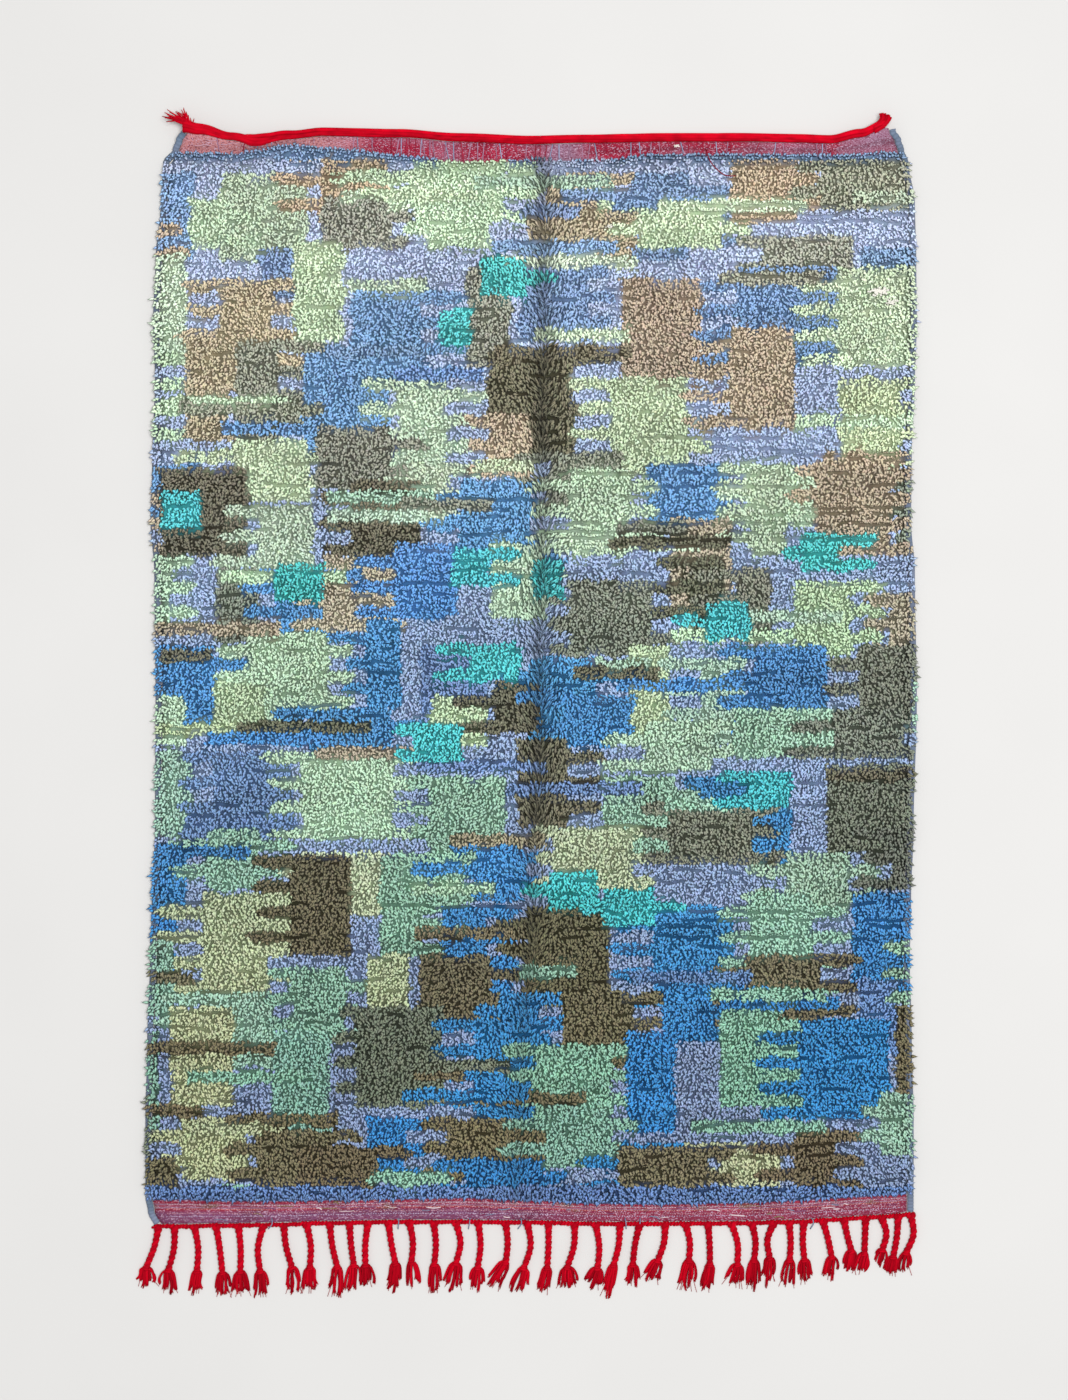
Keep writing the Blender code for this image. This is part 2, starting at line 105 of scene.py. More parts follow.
# Tassels from left to right: x at the header, how far the middle bows aside and the knot stands
# aside, the knot's distance from the header, the tip's place beside and below the knot, and the
# brush's width at its tip.
Tassel = namedtuple("Tassel", "x bow knot_side knot_down tip_side tip_down brush")
TASSELS = rows_of(
    Tassel,
    (-585, 3, -20, 62, 0, 24, 27), (-560, 4, -10, 66, 0, 30, 25), (-529, 4, 4, 68, -3, 29, 20),
    (-495, 1, 10, 71, -2, 32, 24), (-460, 2, 3, 69, 2, 33, 25), (-421, -6, -5, 70, 1, 34, 22),
    (-389, -3, 13, 64, 1, 35, 18), (-353, 4, 5, 66, 1, 34, 24), (-317, -2, 12, 66, -4, 40, 21),
    (-286, -1, 7, 64, -4, 36, 21), (-257, -2, -4, 64, 1, 29, 20), (-225, -1, 11, 62, -3, 37, 23),
    (-192, 4, 3, 61, 2, 35, 22), (-154, 3, 1, 64, -1, 38, 20), (-119, 7, 0, 62, -8, 33, 27),
    (-84, 4, -1, 69, -3, 29, 21), (-41, 3, 0, 60, -21, 33, 21), (-7, 8, -6, 69, -11, 29, 23),
    (26, 1, -2, 68, -9, 34, 20), (67, 5, -12, 66, 2, 26, 27), (100, 4, 3, 67, -10, 25, 24),
    (138, 3, -10, 62, -8, 43, 17), (169, -2, -11, 62, -2, 27, 22), (209, 4, -12, 55, -13, 26, 23),
    (241, 4, 5, 55, -6, 40, 23), (276, 1, 3, 62, -7, 36, 20), (313, 5, 9, 62, -8, 29, 23),
    (345, 4, 3, 56, -3, 38, 21), (379, -7, -6, 53, -5, 29, 21), (403, 2, 1, 57, -5, 36, 18),
    (426, -2, 1, 57, 3, 32, 20), (456, 1, 14, 55, -4, 30, 21), (489, -1, 12, 47, -5, 30, 21),
    (523, 0, -2, 53, -7, 28, 21), (548, 7, 1, 49, -6, 20, 17), (574, 2, -8, 62, -5, 24, 18),
    (594, 8, -8, 58, -3, 28, 18),
)

# Wools of the pile as they look near the rug's faded upper end, at its middle and at its lower
# end: sRGB, 0 to 255.
Dye = namedtuple("Dye", "name upper middle lower")
DYES = (
    Dye("lavender", (165, 177, 199), (131, 150, 176), (112, 128, 154)),
    Dye("cobalt", (128, 153, 187), (78, 131, 175), (48, 111, 158)),
    Dye("denim", (126, 148, 178), (104, 128, 164), (86, 114, 154)),
    Dye("mint", (184, 200, 174), (165, 188, 165), (126, 158, 139)),
    Dye("seafoam", (165, 190, 170), (148, 178, 158), (114, 150, 134)),
    Dye("lime", (185, 198, 168), (168, 186, 158), (148, 156, 124)),
    Dye("taupe", (171, 157, 136), (152, 144, 126), (120, 110, 88)),
    Dye("olive", (146, 148, 134), (108, 114, 103), (90, 96, 82)),
    Dye("walnut", (110, 104, 86), (93, 95, 79), (94, 88, 67)),
    Dye("teal", (90, 180, 182), (78, 172, 176), (64, 160, 166)),
)
# Rows of the photograph, in pixels, where the wools look as those three columns say.
DYE_ROWS = np.array([240.0, 640.0, 1060.0])

# A block of the pattern: its wool, its sides and ends, and how far its comb teeth reach to the left
# and to the right. A negative reach starts with a gap.
Block = namedtuple("Block", "wool left right top bottom left_teeth right_teeth", defaults=(0, 0))
# All in pixels: a tooth's height, the area that the pattern fills, its middle row, the inner edges
# of the bars that close it at both ends, and the rows between which bars and accents start.
TOOTH = 12.5
FIELD = Block("lavender", 130, 930, 130, 1210)
MIDDLE_ROW = 650
END_BARS = (162, 1186)
BAR_ROWS = (170, 1170)
ACCENT_ROWS = (210, 900)
# The least and the most of the sizes drawn at random, in pixels.
BLOCK_WIDTHS = (34, 92)
BLOCK_GAPS = (4, 46)
TEETH_REACHES = (20, 50)
BAR_LENGTHS = (50, 150)
ACCENT_WIDTHS = (28, 52)
BARS = 70
ACCENTS = 13
PATTERN_SEED = 4
# Shares of the wools among the blocks near the upper end, at the middle and near the lower end.
Share = namedtuple("Share", "wool upper middle lower")
SHARES = (
    Share("cobalt", 0.10, 0.20, 0.16),
    Share("denim", 0.14, 0.05, 0.10),
    Share("mint", 0.32, 0.16, 0.12),
    Share("seafoam", 0.02, 0.18, 0.20),
    Share("lime", 0.06, 0.09, 0.10),
    Share("taupe", 0.24, 0.04, 0.00),
    Share("olive", 0.12, 0.18, 0.02),
    Share("walnut", 0.00, 0.10, 0.30),
)


def pick_wool(dice, py, last):
    """A wool for a block at a height, other than the last one."""
    heights = np.array([FIELD.top, MIDDLE_ROW, FIELD.bottom], float)
    odds = np.array([np.interp(py, heights, share[1:]) for share in SHARES])
    odds[[share.wool == last for share in SHARES]] = 0
    return SHARES[dice.choice(len(SHARES), p=odds / odds.sum())].wool


def comb_block(dice, wool, left, width, top, height):
    """A block whose sides may carry comb teeth, drawn at random."""
    reach = dice.uniform(*TEETH_REACHES, 2) * dice.choice([-1, 1], 2)
    reach *= dice.uniform(0, 1, 2) < 0.62
    return Block(wool, left, left + width, top, top + height, *reach)


def draw_pattern():
    """The pattern, all drawn by rule: staggered rows of toothed blocks, bars and a few accents."""
    dice = np.random.default_rng(PATTERN_SEED)
    blocks = [FIELD]
    top = FIELD.top + 20
    while top < FIELD.bottom - 20:
        height = dice.integers(4, 9) * TOOTH
        left, last = FIELD.left - dice.uniform(0, 50), ""
        while left < FIELD.right:
            width = dice.uniform(*BLOCK_WIDTHS)
            last = pick_wool(dice, top, last)
            start = top + dice.integers(-2, 3) * TOOTH
            blocks.append(comb_block(dice, last, left, width, start, height))
            left += width + dice.uniform(*BLOCK_GAPS)
        top += height * 0.86
    for _ in range(BARS):
        left, start = dice.uniform(FIELD.left, FIELD.right - 60), dice.uniform(*BAR_ROWS)
        wool = pick_wool(dice, start, "")
        blocks.append(Block(wool, left, left + dice.uniform(*BAR_LENGTHS), start, start + TOOTH))
    for _ in range(ACCENTS):
        left, start = dice.uniform(FIELD.left, FIELD.right - 60), dice.uniform(*ACCENT_ROWS)
        width = dice.uniform(*ACCENT_WIDTHS)
        blocks.append(comb_block(dice, "teal", left, width, start, 3 * TOOTH))
    blocks.append(Block("denim", FIELD.left, FIELD.right, FIELD.top, END_BARS[0]))
    blocks.append(Block("denim", FIELD.left, FIELD.right, END_BARS[1], FIELD.bottom))
    return blocks


PATTERN = draw_pattern()

# Rows where the pile parts and shows a dark line: y and both ends in the photograph's pixels.
Parting = namedtuple("Parting", "y left right")
PARTINGS = rows_of(
    Parting,
    (205, 700, 915), (214, 690, 915), (222, 710, 900), (276, 700, 860), (438, 640, 780),
    (447, 690, 800), (456, 760, 915), (473, 560, 760), (486, 640, 800), (507, 800, 915),
    (514, 640, 915), (523, 540, 915), (531, 540, 760), (538, 560, 915), (545, 600, 700),
    (497, 430, 545), (531, 430, 545), (570, 440, 520), (905, 380, 520), (884, 400, 480),
    (911, 600, 830), (918, 680, 830), (926, 560, 720), (934, 640, 800), (900, 830, 915),
    (917, 830, 915), (1012, 160, 230), (1026, 150, 210), (1143, 760, 860), (1117, 820, 900),
)
# Rows where it may part faintly, here and there.
FAINT_PARTINGS = [Parting(y, 130, 925) for y in range(165, 1195, 11)]


def column(table, field):
    """One named column of a table, as an array."""
    return np.array([getattr(row, field) for row in table], float)


def smooth(places, values, at):
    """Reads values given at places, smoothly from place to place."""
    at = np.asarray(at, float)
    k = np.clip(np.searchsorted(places, at) - 1, 0, len(places) - 2)
    t = np.clip((at - places[k]) / (places[k + 1] - places[k]), 0, 1)
    t = t * t * (3 - 2 * t)
    return values[k] * (1 - t) + values[k + 1] * t


def bell(distance, width, power=2):
    """1 at no distance, about a third at the width, and falling to 0 beyond it."""
    return np.exp(-((distance / width) ** power))


def triples(x, y, z):
    """Three values side by side for each place. Any of them may be one number for all places."""
    return np.stack(np.broadcast_arrays(x, y, z), axis=-1)


def side(y, field):
    """x of the left or right outline at y."""
    return smooth(column(SIDES, "y"), column(SIDES, field), y)


def between_sides(u, y, inset):
    """x at y, where u goes from 0 to 1 between lines that far inside the two sides."""
    left, right = side(y, "left") + inset, side(y, "right") - inset
    return left + (right - left) * u


def from_sides(x, y):
    """Distance of a place from the nearer side."""
    return np.minimum(x - side(y, "left"), side(y, "right") - x)


def course(x, field):
    """y of a course of the weave, or the upper end's lift, at x."""
    return smooth(column(COURSES, "x"), column(COURSES, field), x)


def drift(x, y, span, seed):
    """A smooth random field around 0, mostly from -1 to 1, that changes over span."""
    dice = np.random.default_rng(seed)
    total = np.zeros(np.broadcast(x, y).shape)
    for _ in range(7):
        heading = dice.uniform(0, math.tau)
        reach = span * dice.uniform(0.6, 1.6)
        along = (np.asarray(x) * math.cos(heading) + np.asarray(y) * math.sin(heading)) / reach
        total = total + np.sin(math.tau * along + dice.uniform(0, math.tau))
    return total / 2.6


def linear(colour):
    """sRGB from 0 to 255 as linear light from 0 to 1."""
    c = np.asarray(colour, float) / 255
    return np.where(c <= 0.04045, c / 12.92, ((c + 0.055) / 1.055) ** 2.4)


def to_pixels(x, y):
    """The place in the photograph of a place on the rug."""
    return ORIGIN_PX[0] + x / PIXEL, ORIGIN_PX[1] - y / PIXEL


def from_pixels(px, py):
    """The place on the rug of a place in the photograph."""
    return (px - ORIGIN_PX[0]) * PIXEL, (ORIGIN_PX[1] - py) * PIXEL


def add_object(name, data):
    """A new object in the scene."""
    made = bpy.data.objects.new(name, data)
    bpy.context.scene.collection.objects.link(made)
    return made


class Skein:
    """Collects points, colours and faces, and makes one mesh of them."""

    def __init__(self):
        self.points, self.colours, self.corners, self.sizes = [], [], [], []
        self.count = 0

    def add(self, points, colours, faces):
        """faces is a list of arrays, each with one face of the new points a row."""
        points = np.asarray(points, float).reshape(-1, 3)
        colours = np.broadcast_to(np.asarray(colours, float), points.shape)
        self.points.append(points)
        self.colours.append(colours)
        for some in faces:
            some = np.asarray(some)
            self.corners.append((some + self.count).ravel())
            self.sizes.append(np.full(len(some), some.shape[1]))
        self.count += len(points)

    def finish(self, name, material, uv=None):
        """Makes the object, gives it its wool and its place on the rug's body."""
        points = np.concatenate(self.points) * MM
        colours = np.concatenate(self.colours)
        corners = np.concatenate(self.corners)
        starts = np.concatenate([[0], np.cumsum(np.concatenate(self.sizes))[:-1]])
        mesh = bpy.data.meshes.new(name)
        mesh.vertices.add(len(points))
        mesh.vertices.foreach_set("co", points.ravel())
        mesh.loops.add(len(corners))
        mesh.loops.foreach_set("vertex_index", corners.astype(np.int32))
        mesh.polygons.add(len(starts))
        mesh.polygons.foreach_set("loop_start", starts.astype(np.int32))
        mesh.update(calc_edges=True)
        # The colour attribute holds the wools' colours together with the painted shade, shadow and
        # light drawn into them.
        colours_and_painted_shade = mesh.color_attributes.new("wool", "FLOAT_COLOR", "POINT")
        rgba = np.concatenate([colours, np.ones((len(colours), 1))], axis=1)
        colours_and_painted_shade.data.foreach_set("color", np.clip(rgba, 0, 1).ravel())
        if uv is not None:
            mesh.uv_layers.new(name="OFBake").data.foreach_set("uv", uv.ravel())
        mesh.shade_smooth()
        mesh.materials.append(material)
        made = add_object(name, mesh)
        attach(made, "root")
        return made


def tube_faces(rings, sides):
    """Faces of a tube of that many rings, with both of its ends closed."""
    ring, k = np.meshgrid(np.arange(rings - 1), np.arange(sides), indexing="ij")
    a, b = ring * sides + k, ring * sides + (k + 1) % sides
    walls = np.stack([a, b, b + sides, a + sides], axis=-1).reshape(-1, 4)
    first = np.arange(sides)[::-1][None, :]
    last = (rings - 1) * sides + np.arange(sides)[None, :]
    return [walls, first, last]


def yarn(skein, path, radius, colour, sides=5, squeeze=1.0):
    """Adds a yarn along a path of points.

    radius is one number or one for each point, and squeeze is the yarn's height over its width.
    """
    path = np.asarray(path, float)
    ahead = np.gradient(path, axis=0)
    ahead /= np.linalg.norm(ahead, axis=1, keepdims=True) + 1e-9
    aside = np.cross(ahead, UP)
    weak = np.linalg.norm(aside, axis=1) < 0.05
    aside[weak] = (1.0, 0.0, 0.0)
    aside /= np.linalg.norm(aside, axis=1, keepdims=True)
    over = np.cross(aside, ahead)
    radius = np.broadcast_to(np.asarray(radius, float), len(path))[:, None, None]
    turn = math.tau * (np.arange(sides) + 0.5) / sides
    around = (
        np.cos(turn)[None, :, None] * aside[:, None, :]
        + np.sin(turn)[None, :, None] * over[:, None, :] * squeeze
    )
    points = path[:, None, :] + around * radius
    points[..., 2] = np.maximum(points[..., 2], 0.1)
    colour = np.asarray(colour, float)
    if colour.ndim == 2:
        colour = np.repeat(colour, sides, axis=0)
    skein.add(points.reshape(-1, 3), colour, tube_faces(len(path), sides))


def curve(points, count):
    """A smooth path of count points through the given ones."""
    points = np.asarray(points, float)
    steps = np.linalg.norm(np.diff(points, axis=0), axis=1)
    along = np.concatenate([[0], np.cumsum(steps)])
    slopes = np.gradient(points, along, axis=0)
    at = np.linspace(0, along[-1], count)
    k = np.clip(np.searchsorted(along, at) - 1, 0, len(along) - 2)
    span = (along[k + 1] - along[k])[:, None]
    t = ((at - along[k]) / span[:, 0])[:, None]
    return (
        (2 * t**3 - 3 * t**2 + 1) * points[k]
        + (t**3 - 2 * t**2 + t) * span * slopes[k]
        + (-2 * t**3 + 3 * t**2) * points[k + 1]
        + (t**3 - t**2) * span * slopes[k + 1]
    )


def set_inputs(node, values):
    """Sets some of a node's inputs, by name, and returns the node."""
    for name, value in values.items():
        node.inputs[name].default_value = value
    return node


def connect(links, *rows):
    """Links nodes. Each row is a node, its output, another node and that one's input."""
    for source, output, end, socket in rows:
        links.new(source.outputs[output], end.inputs[socket])


def new_material(name):
    """A new material, its nodes, its links and its shader."""
    made = bpy.data.materials.new(name)
    made.use_nodes = True
    nodes = made.node_tree.nodes
    return made, nodes, made.node_tree.links, nodes["Principled BSDF"]


def wool_material(name, grain, depth, mottle, sheen=0.06):
    """Wool in the mesh's own colours and painted shade, with a mottle and a fine grain of fibres in
    relief.
    """
    made, nodes, links, shader = new_material(name)
    set_inputs(shader, {"Roughness": 0.92, "Specular IOR Level": 0.06})
    set_inputs(shader, {"Sheen Weight": sheen, "Sheen Roughness": 0.6})
    place = nodes.new("ShaderNodeTexCoord")
    # The dye node reads the mesh's colours, painted shade and light included.
    dye = nodes.new("ShaderNodeAttribute")
    dye.attribute_name = "wool"
    cloud = set_inputs(nodes.new("ShaderNodeTexNoise"), {"Scale": 380.0, "Detail": 3.0})
    shade = nodes.new("ShaderNodeMapRange")
    set_inputs(shade, {"To Min": 1.0 - mottle, "To Max": 1.0 + mottle})
    mix = nodes.new("ShaderNodeVectorMath")
    mix.operation = "SCALE"
    fibres = set_inputs(nodes.new("ShaderNodeTexNoise"), {"Scale": grain, "Detail": 2.0})
    relief = nodes.new("ShaderNodeBump")
    set_inputs(relief, {"Strength": 0.6, "Distance": depth * MM})
    connect(
        links,
        (place, "Object", cloud, "Vector"),
        (place, "Object", fibres, "Vector"),
        (cloud, "Fac", shade, "Value"),
        (dye, "Color", mix, 0),
        (shade, "Result", mix, "Scale"),
        (mix, "Vector", shader, "Base Color"),
        (fibres, "Fac", relief, "Height"),
        (relief, "Normal", shader, "Normal"),
    )
    return made


# Fine dashes of the flat weave: the noise's scale along X, Y and Z, between which of its values
# they begin, their colour, and where in the noise they are read.
Dash = namedtuple("Dash", "scale low high tone place")
DASHES = (
    Dash((420, 700, 200), 0.58, 0.62, (0.52, 0.38, 0.50, 1), (1, 1, 1)),
    Dash((360, 560, 200), 0.55, 0.60, (0.13, 0.01, 0.03, 1), (7, 7, 7)),
)


def weave_material(name):
    """Flat weave: wool with fine pale and dark dashes along X."""
    made = wool_material(name, 700.0, 0.5, 0.15, 0.03)
    nodes, links = made.node_tree.nodes, made.node_tree.links
    shader = nodes["Principled BSDF"]
    place = nodes["Texture Coordinate"]
    base = shader.inputs["Base Color"].links[0].from_socket
    for dash in DASHES:
        spread = nodes.new("ShaderNodeMapping")
        set_inputs(spread, {"Scale": dash.scale, "Location": dash.place})
        noise = set_inputs(nodes.new("ShaderNodeTexNoise"), {"Scale": 1.0, "Detail": 1.0})
        sharp = nodes.new("ShaderNodeMapRange")
        set_inputs(sharp, {"From Min": dash.low, "From Max": dash.high, "To Max": 0.7})
        mix = nodes.new("ShaderNodeMix")
        mix.data_type = "RGBA"
        set_inputs(mix, {"B": dash.tone})
        connect(
            links,
            (place, "Object", spread, "Vector"),
            (spread, "Vector", noise, "Vector"),
            (noise, "Fac", sharp, "Value"),
            (sharp, "Result", mix, "Factor"),
        )
        links.new(base, mix.inputs["A"])
        base = mix.outputs["Result"]
    links.new(base, shader.inputs["Base Color"])
    return made


def pattern_wools(px, py):
    """Which wool of DYES, and which block of the pattern, covers each place."""
    names = [dye.name for dye in DYES]
    wool = np.zeros(px.shape, int)
    block = np.zeros(px.shape, int)
    dice = np.random.default_rng(11)
    for number, b in enumerate(PATTERN):
        rows = (py >= b.top) & (py < b.bottom)
        tooth = np.floor((py - b.top) / TOOTH).astype(int)
        rounded = 0.70 + 0.30 * np.sin(math.pi * ((py - b.top) / TOOTH - tooth))
        reach = dice.uniform(0.82, 1.12, (2, 20))
        covered = rows & (px >= b.left) & (px < b.right)
        for end, teeth in ((0, b.left_teeth), (1, b.right_teeth)):
            if teeth == 0:
                continue
            parity = 0 if teeth > 0 else 1
            length = abs(teeth) * reach[end][np.clip(tooth, 0, 19)] * rounded
            out = b.left - px if end == 0 else px - b.right
            covered |= rows & (tooth % 2 == parity) & (out <= length) & (out >= -4)
        wool[covered] = names.index(b.wool)
        block[covered] = number
    return wool, block


def pile_colours(x, y, dice):
    """The colour of the pile at each place, with its fading, its uneven dyeing and stray knots."""
    px, py = to_pixels(x, y)
    edge = dice.normal(0, 0.8, x.shape) + 1.7 * drift(x * 0.5, y, 34, 91)
    wool, block = pattern_wools(px + edge, py + 1.3 * drift(x, y, 70, 92))
    shades = np.array([linear([d.upper, d.middle, d.lower]) for d in DYES])
    row = np.clip(np.searchsorted(DYE_ROWS, py) - 1, 0, 1)
    share = np.clip((py - DYE_ROWS[row]) / (DYE_ROWS[row + 1] - DYE_ROWS[row]), 0, 1)[..., None]
    colour = shades[wool, row] * (1 - share) + shades[wool, row + 1] * share
    vary = np.random.default_rng(5).normal(0, 0.022, (len(PATTERN), 3))
    vary += np.random.default_rng(6).normal(0, 0.05, (len(PATTERN), 1))
    streak = drift(x, y * 9, 420, 21) * 0.06 + drift(x, y, 260, 22) * 0.04
    single = dice.normal(0, 0.11, x.shape)
    tint = dice.normal(0, 0.025, x.shape + (3,))
    return colour * (1 + vary[block]) * (1 + streak + single)[..., None] * (1 + tint)


def place_on_pile(u, v):
    """x and y of places on the pile: u goes from left to right, v from the lower end up."""
    x = -600 + 1200 * u
    y = -810 + 1630 * v
    for _ in range(4):
        low, high = course(x, "pile_low") + 3, course(x, "pile_high") - 1
        y = low + (high - low) * v
        x = between_sides(u, y, 5)
    return x, y


def tuft_grid(dice):
    """Roots of the tufts, row by row from the lower end, and how far up the pile each is."""
    row, col = np.meshgrid(np.arange(TUFT_ROWS), np.arange(TUFT_COLUMNS), indexing="ij")
    row, col = row.ravel(), col.ravel()
    shift = 0.5 * (row % 2)
    u = (col + 0.25 + shift + dice.normal(0, 0.22, row.shape)) / TUFT_COLUMNS
    v = (row + 0.5 + dice.normal(0, 0.13, row.shape)) / TUFT_ROWS
    x, y = place_on_pile(np.clip(u, 0, 1), np.clip(v, 0, 1))
    y = y + 1.2 * drift(x, y, 80, 44) * np.clip(np.minimum(v, 1 - v) * 20, 0, 1)
    return x, y, v


# The old fold line: y and x of places along it. It wanders to the left at the lower end.
CREASE_Y = np.array([-860.0, -600.0, -350.0, -80.0, 250.0, 880.0])
CREASE_X = np.array([-26.0, -16.0, 2.0, 14.0, 18.0, 20.0])
# How far to each side of it the pile is combed, leans away, dips, and has a thinner foundation.
COMB_WIDTH = 31.0
LEAN_WIDTH = 38.0
DIP_WIDTH = 11.0
THIN_WIDTH = 32.0
ROPE_PITCH = 9.4  # from one combed rope of pile to the next


def from_crease(x, y):
    """Distance from the old fold line, positive to its right, and its strength at that place."""
    away = x - smooth(CREASE_Y, CREASE_X, y)
    strength = 0.45 + 0.55 * np.clip((y + 700) / 600, 0, 1)
    return away, strength


def comb_of(x, y):
    """How strongly the fold combs the pile into ropes, and where in a rope a place is.

    The ropes of both sides run down towards the fold.
    """
    away, strength = from_crease(x, y)
    comb = strength * bell(away, COMB_WIDTH, 4)
    phase = math.tau * (np.abs(away) - 0.45 * y) / ROPE_PITCH + 1.1 * drift(x, y, 130, 42)
    return comb, phase


def tuft_lean(x, y, v, dice):
    """Heading of each tuft's lean and how far over it lies."""
    away, strength = from_crease(x, y)
    fold = strength * bell(away, LEAN_WIDTH)
    sway = dice.normal(0, 0.58, x.shape)
    sway += 0.45 * drift(x, y, 60, 31) + 0.18 * drift(x, y, 240, 32)
    heading = -math.pi / 2 + sway * (1 - 0.75 * fold)
    heading -= fold * 0.60 * np.tanh(away / 8.0)
    heading -= bell(x - side(y, "left"), 14.0)
    heading += bell(side(y, "right") - x, 14.0)
    turned = dice.uniform(0, 1, x.shape) > np.clip(((1 - v) * TUFT_ROWS - 1.0) * 0.4, 0, 1)
    heading = np.where(turned, math.pi / 2 + sway, heading)
    run = TUFT_RUN * np.clip(1 + dice.normal(0, 0.22, x.shape), 0.45, 1.6)
    run *= (1 + 0.55 * fold) * np.where(turned, 0.6, 1.0)
    return heading, run


STEP_BACK = 3.2  # from a parting to the roots below it
STOP_SHORT = 9.0  # from a parting to the furthest roots above it whose tufts it shortens


def part_rows(x, y, run):
    """Opens the pile along the partings: roots step back from them and tufts stop short of them."""
    px, _ = to_pixels(x, y)
    y, run = y.copy(), run.copy()
    for k, p in enumerate([*PARTINGS, *FAINT_PARTINGS]):
        _, line = from_pixels(0, p.y)
        near = np.flatnonzero((px > p.left) & (px < p.right) & (np.abs(y - line) < 22))
        across = x[near]
        level = -0.55 if k < len(PARTINGS) else 0.75
        wave = 3.0 * drift(across, 0, 120, 300 + k) + 1.3 * drift(across, 0, 30, 400 + k)
        gap = y[near] - line - wave
        gap[drift(across, 0, 80, 500 + k) < level] = 99
        above = (gap > 0) & (gap < STOP_SHORT)
        short = np.minimum(run[near], np.maximum(gap - 0.5, 1.2))
        run[near] = np.where(above, short, run[near])
        under = (gap <= 0) & (gap > -STEP_BACK)
        y[near] = np.where(under, y[near] - gap - STEP_BACK, y[near])
    return y, run


def tuft_points(x, y, v, dice):
    """Five points of each tuft: its root, a fat middle of three points and its end."""
    heading, run = tuft_lean(x, y, v, dice)
    y, run = part_rows(x, y, run)
    away, strength = from_crease(x, y)
    comb, phase = comb_of(x, y)
    x = x - 2.0 * comb * np.sin(phase) * np.sign(away)
    top = PILE - 1.4 + 1.3 * drift(x, y, 70, 33) + dice.normal(0, 0.8, x.shape)
    top -= comb * 1.3 * (1 - np.cos(phase))
    top -= 2.4 * strength * bell(away, DIP_WIDTH)
    low_end = bell(v * TUFT_ROWS, 1.6)
    high_end = bell((1 - v) * TUFT_ROWS, 2.4)
    brim = bell(from_sides(x, y), 10.0)
    top *= 1 - np.clip(low_end * 0.50 + brim * 0.45 + high_end * 0.20, 0, 0.65)
    width = TUFT_WIDTH * np.clip(1 + dice.normal(0, 0.15, x.shape), 0.65, 1.45) * (1 - 0.2 * comb)

    out = triples(np.cos(heading), np.sin(heading), 0)
    aside = triples(-out[:, 1], out[:, 0], 0)
    root = triples(x, y, SHEET)
    rise = (top - SHEET)[:, None]
    middle = root + out * (run * 0.42)[:, None] + UP * rise * 0.82
    middle += aside * dice.normal(0, 0.4, x.shape)[:, None]
    end = root + out * (run * 1.25)[:, None] + UP * rise * 0.86
    end += aside * dice.normal(0, 0.8, x.shape)[:, None]
    half = aside * (width / 2)[:, None]
    crest = UP * (width * 0.36)[:, None]
    points = np.stack([root, middle + half, middle - half, middle + crest, end], axis=1)
    points[:, :, 2] = np.maximum(points[:, :, 2], 1.0)
    return points


# A tuft's faces by its points: root 0, left 1, right 2, crest 3 and end 4. Two are its underside.
TUFT_FACES = np.array([[0, 3, 1], [0, 2, 3], [1, 3, 4], [3, 2, 4], [0, 1, 2], [1, 4, 2]])
# Where a tuft's points are in its cell of the texture, seen from above and from below.
CELL_ABOVE = np.array([[0.03, 0.74], [0.45, 0.97], [0.45, 0.53], [0.45, 0.75], [0.96, 0.74]])
CELL_BELOW = np.array([[0.03, 0.24], [0.45, 0.47], [0.45, 0.03], [0.45, 0.25], [0.96, 0.24]])


def tuft_cells(count):
    """A small cell of texture for each tuft, so that a bake gives each its own colours."""
    across = math.ceil(math.sqrt(count))
    number = np.arange(count)
    corner = np.stack([number % across, number // across], axis=-1)
    cell = np.concatenate([CELL_ABOVE[TUFT_FACES[:4]], CELL_BELOW[TUFT_FACES[4:]]])
    return ((corner[:, None, None, :] + cell[None]) / across).reshape(-1, 2)


# Painted shade and highlight on a tuft's five points: root and sides darker, crest and end lighter.
# Light travels further in pale wool, which evens it out.
DARK_SHARES = np.array([0.40, 0.72, 0.72, 1.22, 1.10])
PALE_SHARES = np.array([0.76, 0.95, 0.95, 1.04, 1.00])
# The wool's own lightness over how it looks with the gaps between tufts.
DARK_GAIN = 1.72
PALE_GAIN = 1.49


def paleness_of(colour):
    """How pale each colour is, from 0 to 1."""
    return np.clip(colour.mean(axis=1) * 2.2, 0, 1)[:, None]


